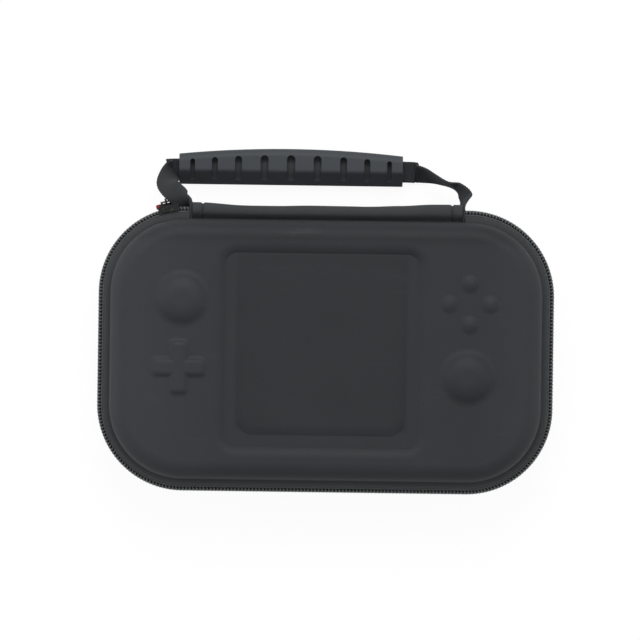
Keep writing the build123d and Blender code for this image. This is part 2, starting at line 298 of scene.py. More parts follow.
@dataclass(frozen=True)
class Cloth(Finish):
    """Woven cloth or tape, its yarns following the cloth's own run."""

    weave: Weave = Weave.PLAIN
    pitch: float = 0.5
    depth: float = 0.08
    gloss: float = 0.62
    front_light: float = 0.0

    def key(self) -> str:
        """Name the material goes by."""
        return f"Cloth_{self.weave.value}_{self.slot}"

    def make(self, recipe: Recipe) -> bpy.types.Material:
        """Build the cloth.

        Args:
            recipe: Material to fill.

        Returns:
            The finished material.
        """
        cloth = recipe.cloth()
        turn = TAU / (self.pitch * MM)
        run = cloth.part("X") * turn
        across = cloth.part("Y") * turn
        if self.weave is Weave.PLAIN:
            yarn = run.sine() * across.sine()
        elif self.weave is Weave.TWILL:
            yarn = (run + across * 0.7).sine()
        else:
            yarn = run.sine() * (0.75 + (across * 0.5).sine() * 0.25)
        fuzz = recipe.noise(recipe.place(), 5200, 3)
        cloud = recipe.noise(recipe.place(), 55, 3)
        height = yarn * 0.5 + 0.5
        # Painted light: the cloth is lighter along the case's front.
        share = height * 0.45 + fuzz * 0.35 + cloud * 0.2 + recipe.front() * self.front_light
        return recipe.surface(
            Base_Color=recipe.mixed(share, self.dark, self.light),
            Roughness=self.gloss + fuzz * 0.2,
            Normal=recipe.relief(height + fuzz * 0.4, self.depth * MM),
            Sheen_Weight=0.12,
        )


@dataclass(frozen=True)
class Nylon(Finish):
    """Drawn nylon of the coil, satin with fine draw lines."""

    front_light: float = 0.0

    def make(self, recipe: Recipe) -> bpy.types.Material:
        """Build the nylon.

        Args:
            recipe: Material to fill.

        Returns:
            The finished material.
        """
        place = recipe.place()
        line = recipe.noise(place, 2600, 2)
        cloud = recipe.noise(place, 120, 3)
        # Painted light: the nylon is lighter along the case's front.
        share = line * 0.5 + cloud * 0.5 + recipe.front() * self.front_light
        return recipe.surface(
            Base_Color=recipe.mixed(share, self.dark, self.light),
            Roughness=0.34 + cloud * 0.14,
            Normal=recipe.relief(line, 0.02 * MM),
        )


@dataclass(frozen=True)
class Rubber(Finish):
    """Moulded rubber with a fine spark texture and slow flow marks."""

    gloss: float = 0.42

    def make(self, recipe: Recipe) -> bpy.types.Material:
        """Build the rubber.

        Args:
            recipe: Material to fill.

        Returns:
            The finished material.
        """
        place = recipe.place()
        spark = recipe.noise(place, 3400, 3)
        flow = recipe.noise(place.stretched(22, 60, 60), 1, 4)
        dust = recipe.noise(place, 520, 2).between(0.66, 0.78)
        colour = recipe.mixed(flow * 0.5 + spark * 0.35 + dust * 0.15, self.dark, self.light)
        return recipe.surface(
            Base_Color=self.tinted(recipe, colour),
            Roughness=self.gloss + flow * 0.12 + dust * 0.12,
            Normal=recipe.relief(spark, 0.03 * MM),
        )

    def tinted(self, recipe: Recipe, colour: Signal) -> Signal:
        """Colour with anything painted over it; plain rubber has nothing."""
        return colour


@dataclass(frozen=True)
class GroovedRubber(Rubber):
    """Moulded grip with painted shade on the floors of its grooves and painted light at their closed ends.
    """

    dirt: Colour = tone(42, 46, 50)
    dust: Colour = tone(108, 114, 120)
    top: float = 9.0

    def tinted(self, recipe: Recipe, colour: Signal) -> Signal:
        """Rubber with painted shade and painted light on the level floors below the top.

        Args:
            recipe: Material to fill.
            colour: The rubber's own colour.

        Returns:
            The colour with the painted shade and light on.
        """
        place = recipe.place()
        level = recipe.node("ShaderNodeTexCoord", output="Normal").part("Z").between(0.75, 0.95)
        deep = 1 - place.part("Z").between((self.top - 1) * MM, self.top * MM)
        # Painted shade darkens the level groove floors; towards their closed ends, in the end walls' shade,
        # painted light lifts them.
        settled = recipe.mixed(place.part("Y").between(0.0725, 0.0795), self.dirt, self.dust)
        return recipe.mixed(level * deep * 0.9, colour, settled)


@dataclass(frozen=True)
class DippedRubber(Rubber):
    """Moulded pull whose upper end is dipped at a slant in the slider's dark paint."""

    dip: Colour = tone(40, 41, 42)
    level: float = 16.2
    slant: float = 0.25
    hang: Pair = (0.0, 0.0)
    out: Pair = (0.0, 1.0)

    def tinted(self, recipe: Recipe, colour: Signal) -> Signal:
        """Rubber below the slanted line and paint above it.

        Args:
            recipe: Material to fill.
            colour: The rubber's own colour.

        Returns:
            The colour with the paint on.
        """
        place = recipe.place()
        across, along = [place.part(axis) - at for axis, at in zip("XY", self.hang)]
        aside = across * -self.out[1] + along * self.out[0]
        over = place.part("Z") - self.level * MM - aside * self.slant
        return recipe.mixed(over.between(-0.1 * MM, 0.1 * MM), colour, self.dip)


@dataclass(frozen=True)
class PaintedMetal(Finish):
    """Painted casting, the paint rubbed through in spots."""

    rubbed: float = 0.6

    def make(self, recipe: Recipe) -> bpy.types.Material:
        """Build the painted metal.

        Args:
            recipe: Material to fill.

        Returns:
            The finished material.
        """
        place = recipe.place()
        patch = recipe.noise(place, 900, 4).between(self.rubbed, self.rubbed + 0.12)
        scratch = recipe.noise(place.stretched(300, 300, 4200), 1, 2).between(0.6, 0.72)
        bare = (patch + scratch * 0.35).between(0.05, 0.9)
        grit = recipe.noise(place, 5200, 2)
        return recipe.surface(
            Base_Color=recipe.mixed(bare, self.dark, self.light),
            Metallic=0.25 + bare * 0.7,
            Roughness=0.38 - bare * 0.08 + grit * 0.1,
            Normal=recipe.relief(grit + scratch * 0.6, 0.015 * MM),
        )


@dataclass(frozen=True)
class Velour(Finish):
    """Brushed knit bonded over foam."""

    def make(self, recipe: Recipe) -> bpy.types.Material:
        """Build the velour.

        Args:
            recipe: Material to fill.

        Returns:
            The finished material.
        """
        place = recipe.place()
        pile = recipe.noise(place, 2600, 3)
        brushed = recipe.noise(place.stretched(30, 90, 60), 1, 3)
        wale = (place.part("X") * (TAU / (0.9 * MM))).sine() * (place.part("Y") * (TAU / (0.7 * MM))).sine()
        share = pile * 0.55 + brushed * 0.35 + wale * 0.06
        return recipe.surface(
            Base_Color=recipe.mixed(share, self.dark, self.light),
            Roughness=0.82 + pile * 0.12,
            Normal=recipe.relief(pile + wale * 0.25, 0.12 * MM),
            Sheen_Weight=0.35,
        )


SKIN = PressedSkin("shell_skin", tone(45, 48, 52), tone(71, 74, 78))
SPINE_CLOTH = Cloth("spine_fabric", tone(52, 55, 58), tone(80, 83, 86), Weave.PLAIN, 0.42, 0.05)
LINING_CLOTH = Cloth("lining", tone(38, 39, 41), tone(62, 63, 65), Weave.PLAIN, 0.5, 0.06)
# The tape, coil and thread get painted light along the case's front.
TAPE_CLOTH = Cloth("zip_tape", tone(48, 51, 53), tone(77, 80, 82), Weave.TWILL, 0.75, 0.08, front_light=0.5)
BINDING_CLOTH = Cloth("binding", tone(34, 35, 37), tone(58, 59, 61), Weave.RIB, 0.7, 0.1)
STRAP_CLOTH = Cloth("webbing", tone(37, 39, 42), tone(71, 74, 78), Weave.RIB, 0.55, 0.06)
NET_YARN = Cloth("mesh", tone(36, 37, 38), tone(60, 61, 62), Weave.TWILL, 0.35, 0.05)
COIL_NYLON = Nylon("zip_coil", tone(92, 95, 97), tone(146, 149, 151), front_light=0.5)
# The cord is a real part, but its dark colour is partly painted shade for the gaps between the coil's
# turns.
COIL_CORD_PAINTED_SHADE = Nylon("coil_cord", tone(30, 31, 32), tone(48, 49, 50))
SEWING_THREAD = Cloth("zip_thread", tone(80, 83, 85), tone(124, 127, 129), Weave.TWILL, 0.4, 0.05, front_light=0.4)
GRIP_RUBBER = GroovedRubber("grip_rubber", tone(67, 72, 77), tone(92, 98, 104), 0.52)
PULL_JOINT = next(j for j in frame["record"]["behaviour"]["joints"] if j["name"] == "pull_swing")
RED_RUBBER = DippedRubber(
    "red_rubber",
    tone(150, 22, 34),
    tone(190, 40, 52),
    hang=tuple(PULL_JOINT["pos_m"][:2]),
    out=tuple(PULL_JOINT["axis"][:2]),
)
SLIDER_PAINT = PaintedMetal("slider_metal", tone(44, 45, 46), tone(176, 172, 166), 0.6)
FOAM_VELOUR = Velour("foam", tone(34, 35, 37), tone(66, 67, 70))


@dataclass
class Station:
    """A place on a run: its point, the section's two directions and the length so far."""

    point: Vector
    across: Vector
    rise: Vector
    run: float


def make_piece(
    name: str,
    points: Sequence[Vector],
    faces: Sequence[Sequence[int]],
    uvs: Sequence[Sequence[Pair]] | None = None,
    crease: float = 40.0,
) -> bpy.types.Object:
    """Mesh object from points and faces.

    Args:
        name: Piece name.
        points: Corners in metres.
        faces: Corner numbers of each face.
        uvs: Cloth place of each face's corners, in metres.
        crease: Edges sharper than this many degrees stay sharp.

    Returns:
        The object, linked to the scene.
    """
    mesh = bpy.data.meshes.new(name)
    mesh.from_pydata(points, [], faces)
    if uvs:
        layer = mesh.uv_layers.new(name="cloth")
        layer.data.foreach_set("uv", [c for face in uvs for corner in face for c in corner])
    shaper = bmesh.new()
    shaper.from_mesh(mesh)
    bmesh.ops.recalc_face_normals(shaper, faces=shaper.faces)
    shaper.to_mesh(mesh)
    shaper.free()
    mesh.polygons.foreach_set("use_smooth", [True] * len(mesh.polygons))
    mesh.set_sharp_from_angle(angle=math.radians(crease))
    piece = bpy.data.objects.new(name, mesh)
    bpy.context.scene.collection.objects.link(piece)
    return piece


def sweep(
    name: str,
    stations: Sequence[Station],
    section: Sequence[Pair],
    closed: bool = False,
    reshape: Reshape | None = None,
    crease: float = 40.0,
) -> bpy.types.Object:
    """Run a closed section along stations.

    Args:
        name: Piece name.
        stations: Places along the run.
        section: Section's corners as lengths across and up.
        closed: Whether the run meets its own start.
        reshape: Moves each finished point, if given.
        crease: Edges sharper than this many degrees stay sharp.

    Returns:
        The swept piece.
    """
    count = len(section)
    girth = [0.0]
    for j in range(count):
        near, far = section[j], section[(j + 1) % count]
        girth.append(girth[-1] + math.dist(near, far))
    points = [s.point + s.across * a + s.rise * b for s in stations for a, b in section]
    if reshape:
        points = [reshape(p) for p in points]
    faces, uvs = [], []
    rings = len(stations)
    for i in range(rings if closed else rings - 1):
        k = (i + 1) % rings
        near = stations[i].run
        far = stations[k].run if k else near + (stations[0].point - stations[i].point).length
        for j in range(count):
            m = (j + 1) % count
            faces.append((i * count + j, k * count + j, k * count + m, i * count + m))
            uvs.append(((near, girth[j]), (far, girth[j]), (far, girth[j + 1]), (near, girth[j + 1])))
    if not closed:
        for first in (0, (rings - 1) * count):
            faces.append(tuple(range(first, first + count)))
            uvs.append([(a, b) for a, b in section])
    return make_piece(name, points, faces, uvs, crease)


def round_section(radius: float, sides: int, tall: float = 1.0) -> list[Pair]:
    """Section of a round wire, its height scaled by tall."""
    angles = [TAU * k / sides for k in range(sides)]
    return [(radius * math.cos(a), radius * tall * math.sin(a)) for a in angles]


def wire(
    name: str, centres: Sequence[Vector], sides_ahead: Sequence[Vector], radius: float, sides: int = 6
) -> bpy.types.Object:
    """Round wire along a line of points.

    Args:
        name: Piece name.
        centres: Points of its middle line.
        sides_ahead: A direction at each point that the line doesn't follow.
        radius: Wire radius.
        sides: Corners of its section.

    Returns:
        The wire.
    """
    last = len(centres) - 1
    stations, run = [], 0.0
    for i, centre in enumerate(centres):
        before, after = centres[max(i - 1, 0)], centres[min(i + 1, last)]
        along = (after - before).normalized()
        across = sides_ahead[i].cross(along).normalized()
        run += (centre - before).length
        stations.append(Station(centre, across, along.cross(across), run))
    return sweep(name, stations, round_section(radius, sides), crease=80)


def through(points: Sequence[Vector], share: float) -> Vector:
    """Smooth curve through points.

    Args:
        points: Points to pass through.
        share: Place on the curve in steps of points.

    Returns:
        The point on the curve.
    """
    last = len(points) - 1
    i = min(int(share), last - 1)
    t = share - i
    a, b, c, d = (points[min(max(i + k, 0), last)] for k in (-1, 0, 1, 2))
    first = (c - a) * (0.5 * t)
    second = (a * 2 - b * 5 + c * 4 - d) * (0.5 * t * t)
    third = (b * 3 - a - c * 3 + d) * (0.5 * t * t * t)
    return b + first + second + third


def stitch_row(
    name: str, marks: Sequence[tuple[Vector, Vector, Vector]], length: float, radius: float
) -> bpy.types.Object:
    """Row of thread stitches.

    Args:
        name: Piece name.
        marks: Each stitch's middle, its direction and the cloth's outward side.
        length: Stitch length.
        radius: Thread radius.

    Returns:
        All the stitches as one piece.
    """
    points, faces, uvs = [], [], []
    bands = [(-0.5, 0.45), (-0.38, 0.9), (-0.15, 1.0), (0.15, 1.0), (0.38, 0.9), (0.5, 0.45)]
    sides = 6
    edge = radius * TAU / sides
    for middle, along, out in marks:
        start = len(points)
        across = out.cross(along).normalized()
        for where, girth in bands:
            rise = radius * 0.9 * (1 - (2 * where) ** 2)
            centre = middle + along * (where * length) + out * rise
            for k in range(sides):
                angle = TAU * k / sides
                side = across * math.cos(angle) + out * math.sin(angle)
                points.append(centre + side * (radius * girth))
        for i in range(len(bands) - 1):
            for k in range(sides):
                m = (k + 1) % sides
                low, high = start + i * sides, start + (i + 1) * sides
                faces.append((low + k, high + k, high + m, low + m))
                near, far = bands[i][0] * length, bands[i + 1][0] * length
                left, right = edge * k, edge * (k + 1)
                uvs.append(((near, left), (far, left), (far, right), (near, right)))
        for first in (start, start + (len(bands) - 1) * sides):
            faces.append(tuple(range(first, first + sides)))
            uvs.append([(0.0, 0.0)] * sides)
    return make_piece(name, points, faces, uvs, 80)


def rounded_box(width: float, height: float, radius: float, steps: int = 3) -> list[Pair]:
    """Section of a flat band with rounded edges, about its own middle."""
    corners = [(1, 1, 0), (-1, 1, 90), (-1, -1, 180), (1, -1, 270)]
    section = []
    for x, y, start in corners:
        for k in range(steps + 1):
            angle = math.radians(start + 90 * k / steps)
            centre = (x * (width / 2 - radius), y * (height / 2 - radius))
            section.append((centre[0] + radius * math.cos(angle), centre[1] + radius * math.sin(angle)))
    return section


def dress(node: str, finish: Finish) -> bpy.types.Object:
    """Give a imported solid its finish."""
    piece = frame["nodes"][node]
    finish.wear(piece)
    return piece


def clothe(piece: bpy.types.Object, finish: Finish) -> bpy.types.Object:
    """Dress a sewn piece in its finish."""
    finish.wear(piece)
    return piece


def settle(piece: bpy.types.Object) -> None:
    """Turn what a piece's modifiers show into its own mesh."""
    bpy.context.view_layer.update()
    shown = piece.evaluated_get(bpy.context.evaluated_depsgraph_get())
    piece.data = bpy.data.meshes.new_from_object(shown)
    piece.modifiers.clear()


@dataclass(frozen=True)
class RimPath:
    """Line of the closed zip from above, from the spine's right end round the front."""

    half_width: float = 95.0
    half_depth: float = 59.25
    corner: float = 36.0
    start: float = 57.45

    def straights(self) -> list[float]:
        """Straight lengths in order; a quarter turn follows each but the last."""
        x, y = self.half_width - self.corner, self.half_depth - self.corner
        return [x - self.start, 2 * y, 2 * x, 2 * y, x - self.start]

    def length(self) -> float:
        """Whole length of the line."""
        return sum(self.straights()) + TAU * self.corner

    def at(self, run: float) -> tuple[Vector, Vector]:
        """Place on the line.

        Args:
            run: Length along it.

        Returns:
            The point and the outward direction there.
        """
        point, heading, turn = Vector((self.start, self.half_depth, 0)), 0.0, self.corner * TAU / 4
        for i, straight in enumerate(self.straights()):
            ahead = Vector((math.cos(heading), math.sin(heading), 0))
            out = Vector((-ahead.y, ahead.x, 0))
            if run <= straight or i == 4:
                return point + ahead * run, out
            run -= straight
            centre = point + ahead * straight - out * self.corner
            angle = heading - min(run, turn) / self.corner
            side = Vector((-math.sin(angle), math.cos(angle), 0))
            if run <= turn:
                return centre + side * self.corner, side
            run -= turn
            heading = angle
            point = centre + side * self.corner
        raise ValueError("run is past the line's end")

    def stations(self, first: float, last: float, step: float = 1.5) -> list[Station]:
        """Stations in metres between two lengths, about one step apart."""
        count = max(2, round((last - first) / step))
        runs = [first + (last - first) * i / count for i in range(count + 1)]
        return [Station(self.at(r)[0] * MM, self.at(r)[1], UP, r * MM) for r in runs]


@dataclass
class Shells:
    """Moulded lid and tray, in the same pressed skin."""

    skin: Finish = SKIN

    def build(self) -> list[bpy.types.Object]:
        """Dress both halves."""
        return [dress("lid_shell", self.skin), dress("base_shell", self.skin)]


@dataclass
class Zip:
    """Coil zip: two tapes, two wound coils on their cords, and the stubs beside the spine."""

    path: RimPath = field(default_factory=RimPath)
    line: float = 24.5
    pitch: float = 1.45
    coil_inset: float = 1.06
    coil_reach: float = 0.7
    coil_rise: float = 1.12
    coil_middle: float = 1.44
    wire_radius: float = 0.34
    coil_steps: int = 14
    cord_radius: float = 0.5
    cord_tall: float = 1.3
    thread_radius: float = 0.34
    thread_inset: float = 2.16
    thread_rise: float = 2.5
    thread_swell: float = 0.22
    fold: float = 14.85
    stub_gap: float = 0.03
    stub_grip: float = 0.5
    slider_grip: float = 3.3
    stub_top: float = 4.95
    tape: float = 0.9
    tape_line: tuple[Pair, ...] = (
        (2.85, 0.4),
        (2.85, 1.4),
        (2.85, 2.4),
        (2.98, 3.3),
        (3.4, 4.1),
        (4.2, 4.65),
        (5.2, 4.97),
        (7.0, 5.05),
        (8.9, 5.05),
    )

    def build(self) -> list[bpy.types.Object]:
        """Wind the coils and lay the tapes.

        Returns:
            The zip's pieces.
        """
        end = self.path.length()
        fold, gap = self.fold, self.stub_gap
        lid = [
            self.tape_band("lid_tape_band", fold + gap, end - fold - gap, 1),
            *self.coil("lid_coil", fold + gap, end - fold - gap, 1),
        ]
        base = [self.tape_band("base_tape_band", 0.0, end, -1), *self.coil("base_coil", 0.0, end, -1)]
        for piece in lid:
            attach(piece, "lid")
        for piece in base:
            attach(piece, "base")
        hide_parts("lid_zip_tape")
        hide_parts("lid_zip_coil")
        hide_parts("base_zip_tape")
        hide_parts("base_zip_coil")
        stubs = []
        ends = (("right", 0.0, self.stub_grip), ("left", end - fold + gap, self.slider_grip))
        for side, first, grip in ends:
            pieces = [
                self.tape_band(f"{side}_stub_band", first, first + fold - gap, 1),
                *self.coil(f"{side}_stub_coil", first, first + fold - gap, 1),
            ]
            for piece in pieces:
                low, high = self.line + grip, self.line + self.stub_top
                low * MM
                high * MM
                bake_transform(piece)
            stubs.extend(pieces)
        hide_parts("zip_end_tapes")
        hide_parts("zip_end_coils")
        return lid + base + stubs

    def tape_band(self, name: str, first: float, last: float, side: int) -> bpy.types.Object:
        """One tape, bent in from the coil to the rim.

        Args:
            name: Piece name.
            first: Where it starts along the zip.
            last: Where it ends.
            side: 1 for the lid's tape, -1 for the tray's.

        Returns:
            The tape.
        """
        middle = [Vector((a, b, 0)) for a, b in self.tape_line]
        fine = 0.4
        steps = [k * fine for k in range(int((len(middle) - 1) / fine) + 1)]
        curve = [through(middle, s) for s in steps]
        outer, inner = [], []
        for i, point in enumerate(curve):
            ahead = (curve[min(i + 1, len(curve) - 1)] - curve[max(i - 1, 0)]).normalized()
            left = Vector((-ahead.y, ahead.x, 0)) * (self.tape / 2)
            outer.append(point + left)
            inner.append(point - left)
        outline = outer + inner[::-1]
        section = [(-p.x * MM, (self.line + side * p.y) * MM) for p in outline]
        return clothe(sweep(name, self.path.stations(first, last), section), TAPE_CLOTH)

    def coil(self, name: str, first: float, last: float, side: int) -> list[bpy.types.Object]:
        """One wound coil on its cord.

        Args:
            name: Piece name.
            first: Where it starts along the zip.
            last: Where it ends.
            side: 1 for the lid's coil, -1 for the tray's.

        Returns:
            The coil and its cord.
        """
        count = round((last - first) / self.pitch * self.coil_steps)
        centres, ahead = [], []
        for i in range(count + 1):
            run = first + (last - first) * i / count
            point, out = self.path.at(run)
            angle = TAU * run / self.pitch + (0 if side > 0 else math.pi)
            reach = self.coil_reach * math.cos(angle) - self.coil_inset
            height = self.line + side * (self.coil_middle + self.coil_rise * math.sin(angle))
            centres.append((point + out * reach + UP * height) * MM)
            ahead.append(out.cross(UP))
        coil = wire(name, centres, ahead, self.wire_radius * MM)
        level = self.line + side * self.coil_middle
        ring = [
            ((a - self.coil_inset) * MM, (level + b) * MM)
            for a, b in round_section(self.cord_radius, 8, self.cord_tall)
        ]
        cord = sweep(f"{name}_cord", self.path.stations(first, last), ring, crease=80)
        clothe(coil, COIL_NYLON)
        clothe(cord, COIL_CORD_PAINTED_SHADE)
        return [coil, cord, self.sewing(f"{name}_thread", first, last, side)]

    def sewing(self, name: str, first: float, last: float, side: int) -> bpy.types.Object:
        """Chain of thread that holds a coil to its tape, swelling at every turn.

        Args:
            name: Piece name.
            first: Where it starts along the zip.
            last: Where it ends.
            side: 1 for the lid's coil, -1 for the tray's.

        Returns:
            The thread.
        """
        middle = UP * ((self.line + side * self.thread_rise) * MM)
        stations = self.path.stations(first, last, self.pitch / 4)
        for station in stations:
            swell = 1 + self.thread_swell * math.cos(TAU * station.run / (self.pitch * MM))
            station.point = station.point + middle - station.across * (self.thread_inset * MM)
            station.across = station.across * swell
            station.rise = station.rise * swell
        thread = sweep(name, stations, round_section(self.thread_radius * MM, 6), crease=80)
        return clothe(thread, SEWING_THREAD)


@dataclass
class Spine:
    """Cloth strip that hinges the lid, with a stitched hem at each end, and its inner facing."""

    half: float = 56.2
    front: float = 50.65
    back: float = 60.25
    low: float = 19.0
    high: float = 29.7
    thick: float = 1.3
    bend: float = 3.0
    bow: tuple[Pair, ...] = (
        (-56.2, 0.85),
        (-30.0, -0.35),
        (0.0, 0.05),
        (14.0, -0.12),
        (30.0, 0.35),
        (44.0, 1.2),
        (56.2, 1.15),
    )
    tuck: float = 2.4
    tuck_start: float = 55.9
    tuck_reach: float = 1.3
    seam: float = 51.9
    seam_depth: float = 0.7
    seam_width: float = 0.4
    ripple: float = 0.1
    stitch: float = 1.9
    stitch_start: float = 1.6
    stitch_pitch: float = 2.5
    thread: float = 0.2
    lining_y: float = 52.25
    lining_low: float = 20.4
    lining_tall: float = 8.0
    lining_thick: float = 0.7
    lining_slack: float = 0.25

    def build(self) -> list[bpy.types.Object]:
        """Sew the strip, its stitches and its facing.

        Returns:
            The spine's pieces.
        """
        panel = sweep("spine_strip", self.stations(0.6), self.section(), reshape=self.settled, crease=60)
        stitches = stitch_row("spine_stitches", self.marks(), self.stitch * MM, self.thread * MM)
        facing = sweep("hinge_facing", self.stations(2.0), self.facing_section(), reshape=self.rippled)
        for piece, finish in ((panel, SPINE_CLOTH), (stitches, STRAP_CLOTH), (facing, LINING_CLOTH)):
            clothe(piece, finish)
            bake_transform(piece)
        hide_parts("spine_panel")
        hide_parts("spine_lining")
        return [panel, stitches, facing]

    def stations(self, step: float) -> list[Station]:
        """Stations along the strip, about one step apart."""
        count = round(2 * self.half / step)
        places = [-self.half + 2 * self.half * i / count for i in range(count + 1)]
        along_y = Vector((0, 1, 0))
        return [Station(Vector((x * MM, 0, 0)), along_y, UP, (x + self.half) * MM) for x in places]

    def outline(self, inset: float) -> list[Pair]:
        """Folded line of the strip.

        Args:
            inset: Distance in from its outer face.

        Returns:
            Points from the tray's leaf round the back to the lid's leaf.
        """
        low, high, back = self.low + inset, self.high - inset, self.back - inset
        bend = self.bend - inset
        flat = [self.front + (back - bend - self.front) * k / 6 for k in range(6)]
        points = [(y, low) for y in flat]
        points += [self.turn(back - bend, low + bend, bend, -90 + 90 * k / 6) for k in range(7)]
        wall = [low + bend + (high - low - 2 * bend) * k / 6 for k in range(1, 6)]
        points += [(back, z) for z in wall]
        points += [self.turn(back - bend, high - bend, bend, 90 * k / 6) for k in range(7)]
        return points + [(y, high) for y in flat[::-1]]

    @staticmethod
    def turn(y: float, z: float, radius: float, degrees: float) -> Pair:
        """Point on a round bend."""
        angle = math.radians(degrees)
        return (y + radius * math.cos(angle), z + radius * math.sin(angle))

    def section(self) -> list[Pair]:
        """Section of the folded strip."""
        outline = self.outline(0.0) + self.outline(self.thick)[::-1]
        return [(y * MM, z * MM) for y, z in outline]

    def facing_section(self) -> list[Pair]:
        """Section of the inner facing."""
        rows = [self.lining_low + self.lining_tall * k / 8 for k in range(9)]
        front = [(self.lining_y - self.lining_thick / 2, z) for z in rows]
        back = [(self.lining_y + self.lining_thick / 2, z) for z in rows[::-1]]
        return [(y * MM, z * MM) for y, z in front + back]

    def settled(self, point: Vector) -> Vector:
        """Bow the strip along its back, tuck its leaves and draw it in at the two seams."""
        x, y, z = point.x / MM, point.y / MM, point.z / MM
        depth = (y - self.front) / (self.back - self.front)
        push = self.bowed(x) * depth**2
        dent = self.seam_depth * math.exp(-(((abs(x) - self.seam) / self.seam_width) ** 2))
        ripple = self.ripple * math.sin(x * 0.31 + z * 0.4) * depth
        middle_y, middle_z = self.back - self.bend, (self.low + self.high) / 2
        away = Vector((0, max(y - middle_y, 0), (z - middle_z) * 0.5))
        inward = away.normalized() * dent if away.length > 0.01 else Vector()
        under = min(max((self.tuck_start - y) / self.tuck_reach, 0.0), 1.0)
        z += (1 if z < middle_z else -1) * self.tuck * under * under * (3 - 2 * under)
        return Vector((x, y + push + ripple * 0.5, z)) * MM - inward * MM

    def bowed(self, x: float) -> float:
        """How far the strip's back stands out at a place along it."""
        for (near, low), (far, high) in zip(self.bow, self.bow[1:]):
            if x <= far:
                share = (x - near) / (far - near)
                return low + (high - low) * share * share * (3 - 2 * share)
        return self.bow[-1][1]

    def rippled(self, point: Vector) -> Vector:
        """Let the facing hang a little loose."""
        x, z = point.x / MM, point.z / MM
        swell = math.sin((z - self.lining_low) / self.lining_tall * math.pi)
        return point + Vector((0, self.lining_slack * swell * math.sin(x * 0.45), 0)) * MM

    def marks(self) -> list[tuple[Vector, Vector, Vector]]:
        """Stitches down both end seams.

        Returns:
            Each stitch's middle, direction and outward side.
        """
        outline = [Vector((0, y, z)) for y, z in self.outline(0.0)]
        marks = []
        for side in (-1, 1):
            run, due = 0.0, self.stitch_start
            for a, b in zip(outline, outline[1:]):
                span = (b - a).length
                while due <= run + span:
                    along = (b - a).normalized()
                    out = along.cross(Vector((1, 0, 0))) * -1
                    spot = a + along * (due - run)
                    spot.x = side * self.seam
                    marks.append((self.settled(spot * MM), along, out))
                    due += self.stitch_pitch
                run += span
        return marks


@dataclass
class Slider:
    """Cast slider, its bail, the link and the red pull."""

    def build(self) -> list[bpy.types.Object]:
        """Dress the metal in rubbed paint and the pull in dipped rubber."""
        metal = [dress(n, SLIDER_PAINT) for n in ("slider_body", "slider_bail", "pull_link")]
        return [*metal, dress("pull_tip", RED_RUBBER)]


